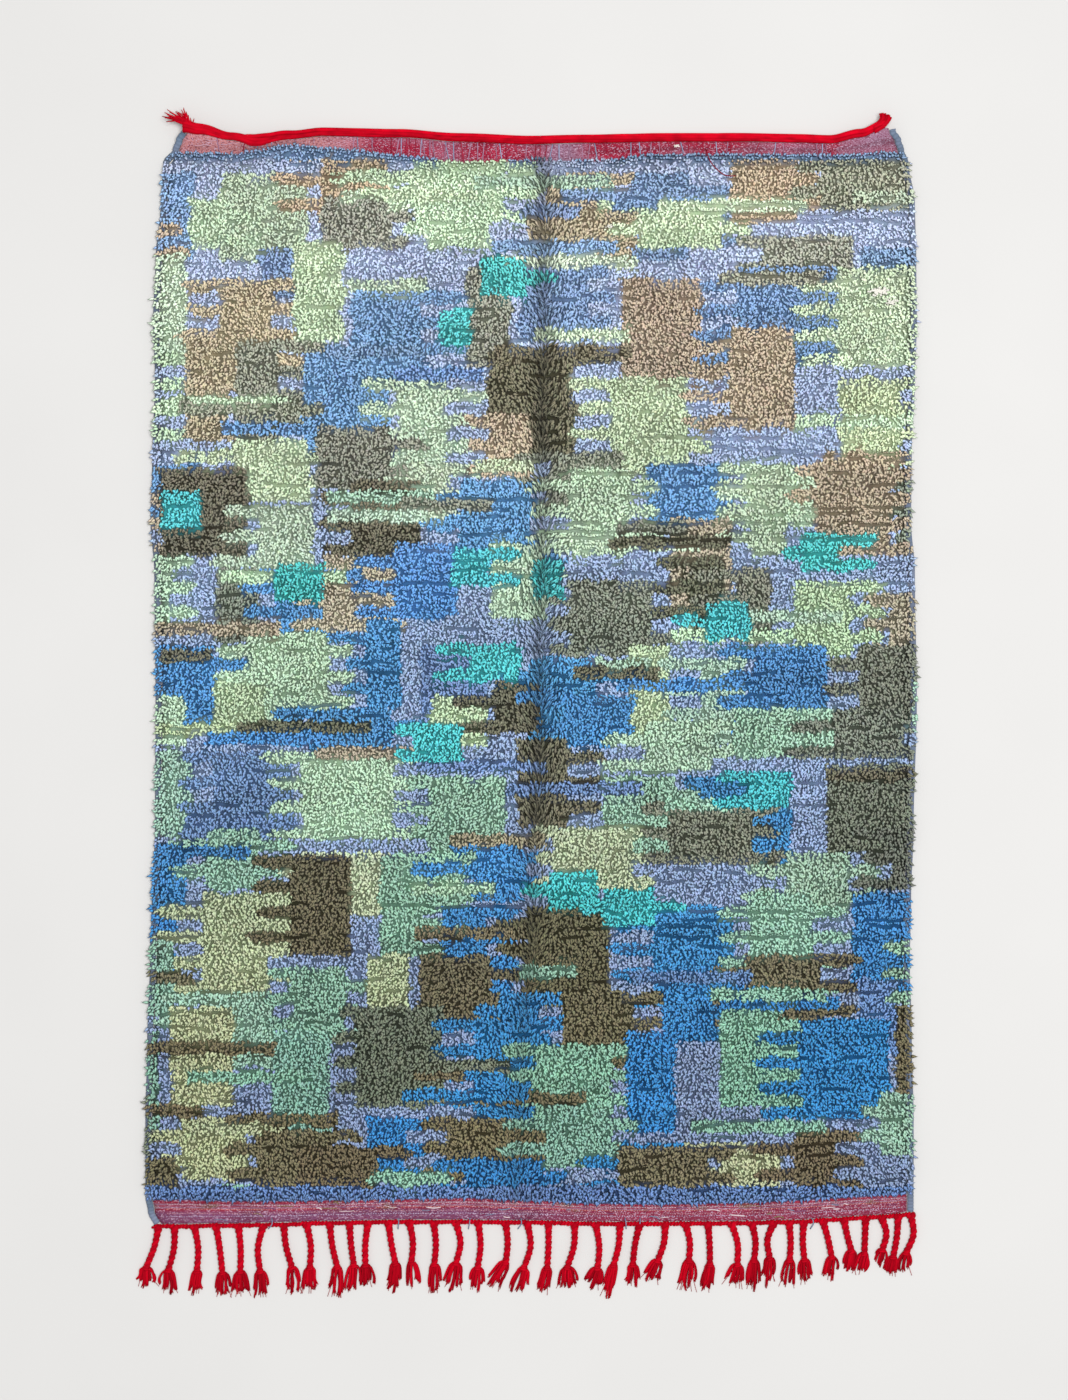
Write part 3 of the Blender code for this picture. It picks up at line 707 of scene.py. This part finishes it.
def make_pile(material):
    """The knotted pile, in bands along the rug: leaning locks that narrow to their ends."""
    dice = np.random.default_rng(3)
    x, y, v = tuft_grid(dice)
    points = tuft_points(x, y, v, dice)
    seen = points[:, 3:5].mean(axis=1)
    colour = pile_colours(x * 0.35 + seen[:, 0] * 0.65, (y - 5.0) * 0.35 + seen[:, 1] * 0.65, dice)
    away, strength = from_crease(seen[:, 0], seen[:, 1])
    comb, phase = comb_of(x, y)
    # Painted shadow in the crease and in the furrows between combed ropes, and painted shade on the
    # last rows at the upper end.
    shadow = 0.48 * strength * bell(away + 2, DIP_WIDTH)
    shadow += 0.38 * comb * (1 - np.cos(phase)) / 2
    shadow += 0.24 * bell((1 - v) * TUFT_ROWS, 5.0)
    colour *= (1 - shadow)[:, None]
    paleness = paleness_of(colour)
    # The shares paint shade on each tuft's root and sides and a highlight on its crest and end.
    shares = DARK_GAIN * DARK_SHARES * (1 - paleness) + PALE_GAIN * PALE_SHARES * paleness
    wool_with_painted_shade = colour[:, None, :] * shares[:, :, None]
    made = []
    edges = np.linspace(0, len(x), BANDS + 1).astype(int)
    for band, (first, last) in enumerate(zip(edges, edges[1:])):
        offsets = (np.arange(last - first) * 5)[:, None, None]
        faces = (TUFT_FACES[None] + offsets).reshape(-1, 3)
        skein = Skein()
        places = points[first:last].reshape(-1, 3)
        skein.add(places, wool_with_painted_shade[first:last].reshape(-1, 3), [faces])
        cells = tuft_cells(last - first)
        made.append(skein.finish(f"pile_{band + 1}", material, cells))
    return made


# Wools of the flat bands, the fringe, the cord and the bindings.
CRIMSON = linear((134, 36, 54))
PLUM = linear((108, 62, 92))
ROSE = linear((146, 34, 56))
PINK = linear((184, 122, 124))
DUSK = linear((140, 104, 126))
SLATE = linear((112, 122, 146))
RED = linear((180, 2, 26))
DEEP_RED = linear((128, 2, 18))
BINDING = linear((104, 116, 136))

# Points across the foundation, and its rows in the lower band, the pile and the upper band.
GROUND_COLUMNS = 124
LOWER_ROWS = 15
PILE_ROWS = 84
UPPER_ROWS = 10


def ground_rows():
    """Rows of the foundation: the courses it lies between, and its share of the way."""
    rows = [("header", "pile_low", k / LOWER_ROWS) for k in range(LOWER_ROWS)]
    rows += [("pile_low", "pile_high", k / PILE_ROWS) for k in range(PILE_ROWS)]
    rows += [("pile_low", "pile_high", 0.998)]
    rows += [("pile_high", "cord", k / UPPER_ROWS) for k in range(UPPER_ROWS + 1)]
    return rows


def ground_heights(field, share, x, y):
    """Heights of the foundation's underside and of its upper face at a row."""
    if field == "pile_high":
        low = course(x, "lift") * share
        return low, low + SHEET + (MAT - SHEET) * (share < 0.05) * 0.3
    if field == "header":
        return np.zeros(x.shape), np.full(x.shape, SHEET)
    near = from_sides(x, y) - BAND_SEAM
    thick = np.clip(np.minimum(near / 12, np.minimum(share, 1 - share) * 60), 0, 1)
    away, strength = from_crease(x, y)
    thick *= 1 - 0.7 * strength * bell(away, THIN_WIDTH, 4)
    return np.zeros(x.shape), SHEET + (MAT - SHEET) * thick


def band_colour(field, share, x, y, dice):
    """Colours of a row of the flat weave at the ends, or None in the pile."""
    blotch = drift(x, y * 4, 90, 51)
    if field == "header":
        upper = np.clip((share - 0.45) * 8, 0, 1)
        warm = np.maximum(upper, np.clip((x + 50) / 250, 0, 0.7))[:, None]
        base = PLUM * (1 - warm) + CRIMSON * warm
        if 0.60 < share < 0.68 or 0.78 < share < 0.84:
            base = base * 0.6 + SLATE * 0.6
        stain = np.clip(drift(x, y * 3, 60, 52) - 0.9, 0, 0.7)[:, None] * (share > 0.5)
        base = base * (1 - stain) + linear((92, 82, 56)) * stain
        return base * (1 + 0.14 * blotch[:, None] + dice.normal(0, 0.05, x.shape)[:, None])
    if field == "pile_high":
        lilac = 0.12 + 0.35 * drift(x, y * 2, 120, 53) + 0.6 * bell(x - 60, 60)
        lilac = np.clip(lilac + 0.6 * (x > 480), 0, 1)[:, None]
        faded = np.clip((-250 - x) / 90, 0, 1)[:, None]
        base = (ROSE * (1 - lilac) + DUSK * lilac) * (1 - faded) + PINK * faded
        # Painted shadow: a darker line along the middle of the upper band, right of x 80, below the
        # cord.
        base = base * (1 - 0.35 * bell(share - 0.45, 0.12) * (x[:, None] > 80))
        return base * (1 + 0.12 * blotch[:, None])
    return None


def make_ground(weave, pile_wool):
    """The woven foundation: one sheet, with flat bands at its ends and the roots between."""
    u = np.arange(GROUND_COLUMNS) / (GROUND_COLUMNS - 1)
    dice = np.random.default_rng(9)
    tops, unders, top_colours_with_painted_shade, under_dyes = [], [], [], []
    for field, other, share in ground_rows():
        x = -590 + 1180 * u
        for _ in range(4):
            start = course(x, field) + (HEADER_WIDTH / 2 + SEAM_GAP if field == "header" else 0)
            end = course(x, other) - (CORD_WIDTH / 2 + SEAM_GAP if other == "cord" else 0)
            y = start + (end - start) * share
            x = between_sides(u, y, BAND_SEAM)
        low, high = ground_heights(field, share, x, y)
        knots = pile_colours(x, y, dice)
        flat = band_colour(field, share, x, y, dice)
        tops.append(triples(x, y, high))
        unders.append(triples(x, y, low))
        # Under the pile the foundation's top is painted dark: painted shade that shows in the gaps
        # between tufts.
        top_colours_with_painted_shade.append(knots**1.25 * (0.34 + 0.40 * paleness_of(knots)) if flat is None else flat)
        under_dyes.append(knots * 1.1 if flat is None else flat)
    faces = closed_sheet_faces(len(tops), GROUND_COLUMNS)
    skein = Skein()
    skein.add(np.concatenate(tops + unders), np.concatenate(top_colours_with_painted_shade + under_dyes), faces)
    made = skein.finish("rug_ground", weave)
    made.data.materials.append(pile_wool)
    knotted = np.array([field == "pile_low" for field, _, _ in ground_rows()][:-1])
    in_pile = np.zeros(len(made.data.polygons), int)
    cells = np.repeat(knotted, GROUND_COLUMNS - 1)
    in_pile[: 2 * len(cells)] = np.concatenate([cells, cells])
    made.data.polygons.foreach_set("material_index", in_pile.astype(np.int32))
    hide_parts("rug_cloth")
    return made


def closed_sheet_faces(rows, columns):
    """Faces of a sheet with a top and an underside of the same grid, and its four rims."""
    r, c = np.meshgrid(np.arange(rows - 1), np.arange(columns - 1), indexing="ij")
    a = (r * columns + c).ravel()
    top = np.stack([a, a + 1, a + columns + 1, a + columns], axis=-1)
    under = top[:, ::-1] + rows * columns
    shift = rows * columns
    rims = []
    for path in (
        np.arange(columns),
        np.arange(rows) * columns + columns - 1,
        ((rows - 1) * columns + np.arange(columns))[::-1],
        (np.arange(rows) * columns)[::-1],
    ):
        rims.append(np.stack([path[1:], path[:-1], path[:-1] + shift, path[1:] + shift], axis=-1))
    return [top, under] + rims


WRAP_PITCH = 5.2  # from one wrap of the header to the next
TWIST_PITCH = 16.0  # length of a whole turn of a tassel's two plies


def make_header(skein, dice):
    """The twined header: slanting wraps of red yarn along a core."""
    left, right = side(-855.0, "left") - 1, side(-855.0, "right") + 1
    xs = np.linspace(left, right, 150)
    core = triples(xs, course(xs, "header"), 3.0)
    yarn(skein, core, 2.8, DEEP_RED, 6)
    turn = np.linspace(-0.25 * math.pi, 1.25 * math.pi, 7)
    for x in np.arange(left + 2, right - 2, WRAP_PITCH):
        slant = dice.uniform(4.4, 6.6)
        wrap_x = x + slant * (turn / math.pi - 0.5)
        wrap_y = course(wrap_x, "header") - 2.1 * np.cos(turn) + dice.normal(0, 0.3)
        path = triples(wrap_x, wrap_y, np.maximum(2.9 + 2.1 * np.sin(turn), 1.6))
        yarn(skein, path, 2.0 * dice.uniform(0.9, 1.1), RED * dice.uniform(0.75, 1.15), 5)


def rope_centre(tassel):
    """The centre line of a tassel's rope, from inside the header to its knot."""
    y = float(course(tassel.x, "header"))
    root = np.array([tassel.x, y, 3.8])
    knot = np.array([tassel.x + tassel.knot_side, y - tassel.knot_down - 3, 4.6])
    middle = (root + knot) / 2 + np.array([tassel.bow, 0, 0.6])
    return curve([root, middle, knot], 27)


def make_rope(skein, tassel, dice):
    """Two plies of red yarn twisted round each other down to the knot, wider at the header."""
    centre = rope_centre(tassel)
    ahead = np.gradient(centre, axis=0)
    ahead /= np.linalg.norm(ahead, axis=1, keepdims=True)
    aside = triples(-ahead[:, 1], ahead[:, 0], 0)
    length = np.concatenate([[0], np.cumsum(np.linalg.norm(np.diff(centre, axis=0), axis=1))])
    start = dice.uniform(0, math.tau)
    shade = dice.uniform(0.85, 1.1)
    flare = 1 + 0.55 * np.exp(-length / 6.0)
    for ply in range(2):
        turn = start + ply * math.pi + math.tau * length / TWIST_PITCH
        path = centre + aside * (2.5 * np.cos(turn) * flare)[:, None]
        path[:, 2] = np.maximum(path[:, 2] + 1.5 * np.sin(turn), 3.2)
        # The second ply is a quarter darker than the first: painted shade that brings out the
        # twist.
        yarn(skein, path, 3.4 * flare, RED * shade * (1.0 - 0.25 * ply), 6)
    return centre[-1], ahead[-1]


def make_knot(skein, place, ahead, dice):
    """A knot: one and a half turns of a strand round the rope's end."""
    aside = np.array([-ahead[1], ahead[0], 0.0])
    turn = np.linspace(0, 3.0 * math.pi, 17) + dice.uniform(0, 1)
    step = np.linspace(-2.5, 2.5, 17)
    path = (
        place[None]
        + np.outer(step, ahead)
        + np.outer(4.0 * np.cos(turn), aside)
        + np.outer(2.4 * np.sin(turn), UP)
    )
    path[:, 2] = np.maximum(path[:, 2] + 0.4, 2.0)
    yarn(skein, path, 1.9, RED * dice.uniform(0.85, 1.1), 6)


def brush_axis(tassel):
    """Start and end of a tassel's open brush."""
    y = float(course(tassel.x, "header"))
    knot = np.array([tassel.x + tassel.knot_side, y - tassel.knot_down - 2, 3.6])
    tip = np.array([knot[0] + tassel.tip_side, knot[1] - tassel.tip_down - 3, 1.6])
    return knot, tip


def make_brush(skein, tassel, dice):
    """The loose yarn ends below a knot: locks of a few strands, which fan out over the floor."""
    knot, tip = brush_axis(tassel)
    reach = tip - knot
    length = np.linalg.norm(reach)
    along = reach / length
    aside = np.array([-along[1], along[0], 0.0])
    locks = round(tassel.brush / 3.0)
    t = np.linspace(0, 1, 7)
    for lock in range(locks):
        spread = (lock + 0.5) / locks * 2 - 1
        end_side = spread * tassel.brush * 0.58 * dice.uniform(0.80, 1.15) + dice.normal(0, 1.2)
        end_reach = 1 - 0.28 * spread**2 + dice.normal(0, 0.11)
        curl = dice.normal(0, 2.4)
        deep = dice.uniform(0.0, 1.6)
        tone = RED * dice.uniform(0.62, 1.15)
        for strand in range(6):
            turn = math.tau * strand / 6
            across = spread * 5.0 * (1 - t) + end_side * t**0.55
            across += 1.5 * math.cos(turn) * (0.6 + 0.5 * t) + curl * np.sin(math.pi * t) * t
            share = end_reach * dice.uniform(0.90, 1.06)
            path = knot + np.outer(t * length * share, along) + np.outer(across, aside)
            height = 4.4 - 2.0 * t - deep + 1.2 * math.sin(turn) * (1 - 0.4 * t)
            path[:, 2] = np.maximum(height, 1.2)
            thick = 1.4 * dice.uniform(0.85, 1.15) * (1 - 0.15 * t - 0.3 * t**6)
            yarn(skein, path, thick, tone * dice.uniform(0.85, 1.12), 3)
        if dice.uniform() < 0.35:
            stray = knot + np.outer(t * length * 1.12, along)
            stray += np.outer(end_side * 1.25 * t + curl * t * t, aside)
            stray[:, 2] = 2.0
            yarn(skein, stray, 0.5, RED * 0.8, 3)


def make_fringe(material):
    """The header and its tassels."""
    dice = np.random.default_rng(17)
    skein = Skein()
    make_header(skein, dice)
    for tassel in TASSELS:
        place, ahead = make_rope(skein, tassel, dice)
        make_knot(skein, place, ahead, dice)
        make_brush(skein, tassel, dice)
    made = skein.finish("fringe_wool", material)
    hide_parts("fringe")
    return made


def cord_half(x):
    """Half the cord's width in plan, which varies along it."""
    places = np.array([-552.0, -530, -510, -470, -450, -440, -424, -405, -360, 560])
    widths = np.array([9.5, 9.0, 8.0, 5.6, 6.2, 8.5, 9.0, 7.5, 6.2, 6.2])
    return smooth(places, widths, x)


def make_cord(material):
    """The red cord: a slowly twisting bundle of yarns, frayed on the left, stubbed on the right."""
    dice = np.random.default_rng(23)
    skein = Skein()
    xs = np.linspace(-546, 552, 250)
    half = cord_half(xs)
    strands = 6
    for k in range(strands):
        turn = math.tau * k / strands + xs / 210.0 + 0.5 * drift(xs, k * 50.0, 220, 60 + k)
        y = course(xs, "cord") + (half - 2.4) * np.cos(turn)
        path = triples(xs, y, course(xs, "lift") + 3.6 + 1.6 * np.sin(turn))
        # Painted light and shade: each strand is lighter on its +Y side and darker on its -Y side;
        # the drift is a random mottle.
        shade = 1 + 0.14 * drift(xs, k * 30.0, 26, 70 + k) + 0.16 * np.cos(turn)
        yarn(skein, path, 2.5 + 0.1 * half, RED * shade[:, None] * dice.uniform(0.9, 1.15), 7)
    make_left_ear(skein, dice)
    make_right_ear(skein, dice)
    made = skein.finish("cord_wool", material)
    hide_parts("top_cord")
    return made


def make_left_ear(skein, dice):
    """The frayed left end of the cord: a loose bunch that stands out to the upper left."""
    root = np.array([-532.0, 866.0, 17.0])
    locks = 34
    for k in range(locks):
        spread = (k + 0.5) / locks * 2 - 1
        aim = math.radians(140 - 36 * spread + dice.normal(0, 5))
        reach = 30 + 10 * dice.uniform(-1, 1) + 10 * (spread < -0.2)
        t = np.linspace(0, 1, 6)
        side_step = spread * 9.0
        start = root + np.array([side_step * 0.5, -side_step, 0])
        path = start[None] + np.outer(t * reach, [math.cos(aim), math.sin(aim), 0])
        path[:, 0] += dice.normal(0, 1.4) * np.sin(t * 4)
        path[:, 1] += dice.normal(0, 1.2) * np.sin(t * 4)
        path[:, 2] += dice.uniform(-2.5, 3.0) + 2.0 * np.sin(t * math.pi)
        yarn(skein, path, [2.3, 2.3, 2.1, 1.6, 1.2, 0.7], RED * dice.uniform(0.7, 1.1), 4)


def make_right_ear(skein, dice):
    """The right end of the cord: a short stub bent towards the upper side."""
    strands = 12
    for k in range(strands):
        spread = (k + 0.5) / strands * 2 - 1
        path = curve(
            [
                [534 + 2 * spread, 862 - 5 * spread, 16],
                [548 + 5 * spread, 872 - 4 * spread, 17.5],
                [553 + 8 * spread, 879, 17],
                [553 + 9 * spread, 885 - 4 * spread + dice.normal(0, 1.5), 16],
            ],
            8,
        )
        path[:, 2] += dice.uniform(-2, 2)
        yarn(skein, path, 2.2, RED * dice.uniform(0.75, 1.1), 5)


def make_binding(name, field, material, replaced):
    """The overcast binding along a side: close wraps of blue-grey wool over the edge cords."""
    sign = -1 if field == "left" else 1
    middle = BINDING_INSET + BINDING_WIDTH / 2
    low = float(course(side(-855.0, field), "header")) + HEADER_WIDTH / 2 + 1.0
    high = 858.0 if field == "left" else 864.0
    fine_low = np.arange(low, low + 60, 1.25)
    fine_high = np.arange(high - 110, high, 1.25)
    ys = np.concatenate([fine_low, np.arange(low + 60, high - 110, 5.0), fine_high])
    xs = side(ys, field) - sign * middle
    pile_end = course(xs, "pile_high")
    lift = course(xs, "lift") * np.clip((ys - pile_end) / (high + 4 - pile_end), 0, 1)
    wraps = np.abs(np.sin(ys * math.pi / 5.0))
    radius = (BINDING_WIDTH / 2) * (0.86 + 0.14 * wraps)
    path = triples(xs, ys, lift + BINDING_HEIGHT / 2 + 0.2)
    # Painted shade in the grooves between wraps, darker where the wraps are thinner, with a random
    # mottle over it.
    shade = (0.72 + 0.32 * wraps) * (1 + 0.12 * drift(xs, ys, 26, 81))
    tint = triples(1 + 0.06 * drift(xs, ys, 40, 82), 1, 1)
    wool_with_painted_shade = BINDING[None] * shade[:, None] * tint
    skein = Skein()
    yarn(skein, path, radius, wool_with_painted_shade, 8, BINDING_HEIGHT / BINDING_WIDTH)
    made = skein.finish(name, material)
    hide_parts(replaced)
    return made


# Loose bits, in the photograph's pixels: the path of a thread, and the places and sizes of fluff.
RED_THREAD = ((706, 150), (707, 157), (710, 164), (716, 171), (724, 177), (735, 178))
WHITE_BITS = ((610, 228, 6), (879, 293, 17), (890, 303, 11), (700, 352, 3), (676, 148, 4))
# Rows of pale picks in the lower flat band: how far down the band each is, and its colour.
PALE_PICKS = (
    (0.30, (196, 178, 206)),
    (0.44, (205, 150, 160)),
    (0.62, (222, 150, 140)),
    (0.80, (228, 190, 196)),
)
# Slack pale wefts beside the upper cord's left end: each one's left end in pixels, and its length.
SLACK_WEFTS = ((196, 147, 24), (207, 142, 30), (222, 146, 26), (234, 141, 28), (243, 146, 20))
# Yarn ends that hang over the header, in pixels: the row and the places along it.
TAIL_ROW = 1221
TAILS = (399, 470, 521, 625, 272, 640, 812)
SLUBS = 46


def make_bits(material):
    """The small things that lie on the rug: threads, slubs, stitches and white fluff."""
    dice = np.random.default_rng(37)
    skein = Skein()
    thread = [[*from_pixels(px, py), 19.0] for px, py in RED_THREAD]
    thread[0][2] = 6.0
    yarn(skein, curve(thread, 24), 0.8, DEEP_RED, 5)
    for px, py, size in WHITE_BITS:
        x, y = from_pixels(px, py)
        for _ in range(int(6 + size * 2)):
            aim = dice.uniform(0, math.tau)
            reach = dice.uniform(1.0, 2.0 + size * 0.15)
            start_x, start_y = x + dice.normal(0, size * 0.42), y + dice.normal(0, size * 0.22)
            start = np.array([start_x, start_y, 18.5])
            step = np.array([math.cos(aim), math.sin(aim) * 0.6, 0]) * reach
            path = [start, start + step * 0.5 + [0, 0, 0.6], start + step]
            yarn(skein, path, 0.6 + 0.08 * size, linear((224, 221, 212)), 4)
    for px, py, length in SLACK_WEFTS:
        x, y = from_pixels(px, py)
        t = np.linspace(0, 1, 14)
        wave = 0.9 * np.sin(t * length / 3.4 + dice.uniform(0, 6.3)) + dice.normal(0, 1.0) * t
        lift = course(x, "lift") * 0.6 + 6.0 + 0.5 * np.cos(t * length / 2.7)
        weft = triples(x + length * t, y + wave, lift)
        yarn(skein, weft, 0.7, linear((190, 150, 166)), 4)
    make_picks(skein, dice)
    make_slubs(skein, dice)
    make_band_stitches(skein, dice)
    return skein.finish("loose_bits", material)


def make_picks(skein, dice):
    """The dotted rows that pale wefts make in the lower flat band."""
    for share, tone in PALE_PICKS:
        for x in np.arange(-572, 575, 3.9) + dice.normal(0, 0.5):
            low = float(course(x, "header")) + HEADER_WIDTH / 2
            high = float(course(x, "pile_low"))
            y = low + (high - low) * share + dice.normal(0, 0.25)
            reach = dice.uniform(1.2, 2.4)
            path = [[x, y, SHEET], [x + reach / 2, y, SHEET + 0.6], [x + reach, y, SHEET]]
            yarn(skein, path, 0.7, linear(tone) * dice.uniform(0.7, 1.25), 3)


def make_slubs(skein, dice):
    """Slack wefts and yarn ends on the lower flat band."""
    for _ in range(SLUBS):
        x = dice.uniform(-570, 575)
        low, high = float(course(x, "header")) + 5, float(course(x, "pile_low")) - 2
        y = dice.uniform(low, high)
        reach = dice.uniform(5, 26)
        path = [
            [x, y, SHEET + 0.4],
            [x + reach * 0.5, y + dice.normal(0, 1.2), SHEET + 1.0],
            [x + reach, y + dice.normal(0, 1.8), SHEET + 0.4],
        ]
        tone = [SLATE, PLUM * 1.3, linear((120, 104, 70)), linear((210, 190, 196))]
        yarn(skein, curve(path, 6), dice.uniform(0.6, 1.2), tone[dice.integers(0, 4)], 4)
    for px in TAILS:
        x, y = from_pixels(px, TAIL_ROW)
        bend, end = x + dice.normal(0, 2), x + dice.normal(0, 4)
        tail = [[x, y + 5, 3.2], [bend, y - 2, 7.4], [end, y - 12, 2.0]]
        yarn(skein, curve(tail, 8), 1.1, SLATE * 1.1, 4)


def make_band_stitches(skein, dice):
    """Blue-grey stitches over the upper flat band, beside the cord."""
    for x in np.arange(-505, 515, 7.5):
        density = 0.9 if -190 < x < 30 else 0.35
        if dice.uniform() > density:
            continue
        top = float(course(x, "cord")) - CORD_WIDTH / 2 - 1
        low = float(course(x, "pile_high")) + 2
        lift = float(course(x, "lift"))
        slant = dice.normal(0, 2.5)
        path = [
            [x, low, lift * 0.1 + SHEET + 0.6],
            [x + slant * 0.5, (low + top) / 2, lift * 0.5 + SHEET + 1.6],
            [x + slant, top, lift + SHEET + 0.8],
        ]
        tone = (SLATE * 1.6, DUSK * 1.3, ROSE)[dice.integers(0, 3)] * dice.uniform(0.8, 1.2)
        yarn(skein, curve(path, 7), dice.uniform(0.7, 1.1), tone, 4)


def make_floor():
    """A pale smooth floor that reaches past the view."""
    mesh = bpy.data.meshes.new("floor")
    reach = 30.0  # metres
    corners = [(-reach, -reach, 0), (reach, -reach, 0), (reach, reach, 0), (-reach, reach, 0)]
    mesh.from_pydata(corners, [], [(0, 1, 2, 3)])
    made, nodes, links, shader = new_material("floor_paint")
    set_inputs(shader, {"Roughness": 0.75})
    place = nodes.new("ShaderNodeTexCoord")
    cloud = set_inputs(nodes.new("ShaderNodeTexNoise"), {"Scale": 3.0})
    tone = nodes.new("ShaderNodeMix")
    tone.data_type = "RGBA"
    set_inputs(tone, {"A": (0.565, 0.558, 0.548, 1), "B": (0.600, 0.594, 0.583, 1)})
    connect(
        links,
        (place, "Object", cloud, "Vector"),
        (cloud, "Fac", tone, "Factor"),
        (tone, "Result", shader, "Base Color"),
    )
    mesh.materials.append(made)
    add_object("floor", mesh)


def make_light():
    """Soft studio light: a bright surround and a wide panel above, towards the upper right."""
    world = bpy.data.worlds.new("surround")
    bpy.context.scene.world = world
    world.use_nodes = True
    sky = world.node_tree.nodes["Background"]
    sky.inputs["Color"].default_value = (1.0, 1.0, 1.0, 1.0)
    sky.inputs["Strength"].default_value = 0.50
    panel = bpy.data.lights.new("panel", "AREA")
    panel.energy = 590.0
    panel.size = 3.5
    lamp = add_object("panel", panel)
    lamp.location = (1.1, 0.5, 7.5)
    aim = -lamp.location
    lamp.rotation_euler = aim.to_track_quat("-Z", "Y").to_euler()


def make_camera():
    """A camera straight above, framed as the photograph is."""
    distance = 5.0  # metres
    tall = PICTURE[1] * PIXEL * MM
    lens = bpy.data.cameras.new("camera")
    lens.sensor_width = 36.0
    lens.lens = lens.sensor_width * distance / tall
    camera = add_object("camera", lens)
    x, y = from_pixels(PICTURE[0] / 2, PICTURE[1] / 2)
    camera.location = (x * MM, y * MM, distance)
    lens.clip_end = 50
    bpy.context.scene.camera = camera


def main():
    pile_wool = wool_material("pile_wool_look", 900.0, 0.6, 0.24)
    flat_wool = weave_material("flat_weave_look")
    red_wool = wool_material("red_wool_look", 1100.0, 0.5, 0.16, 0.0)
    blue_wool = wool_material("binding_wool_look", 1100.0, 0.35, 0.15)
    ground = make_ground(flat_wool, pile_wool)
    pile = make_pile(pile_wool)
    fringe = make_fringe(red_wool)
    cord = make_cord(red_wool)
    left = make_binding("binding_wraps_left", "left", blue_wool, "binding_left")
    right = make_binding("binding_wraps_right", "right", blue_wool, "binding_right")
    bits = make_bits(red_wool)
    make_floor()
    make_light()
    make_camera()
    bpy.context.scene.view_settings.view_transform = "Standard"


main()
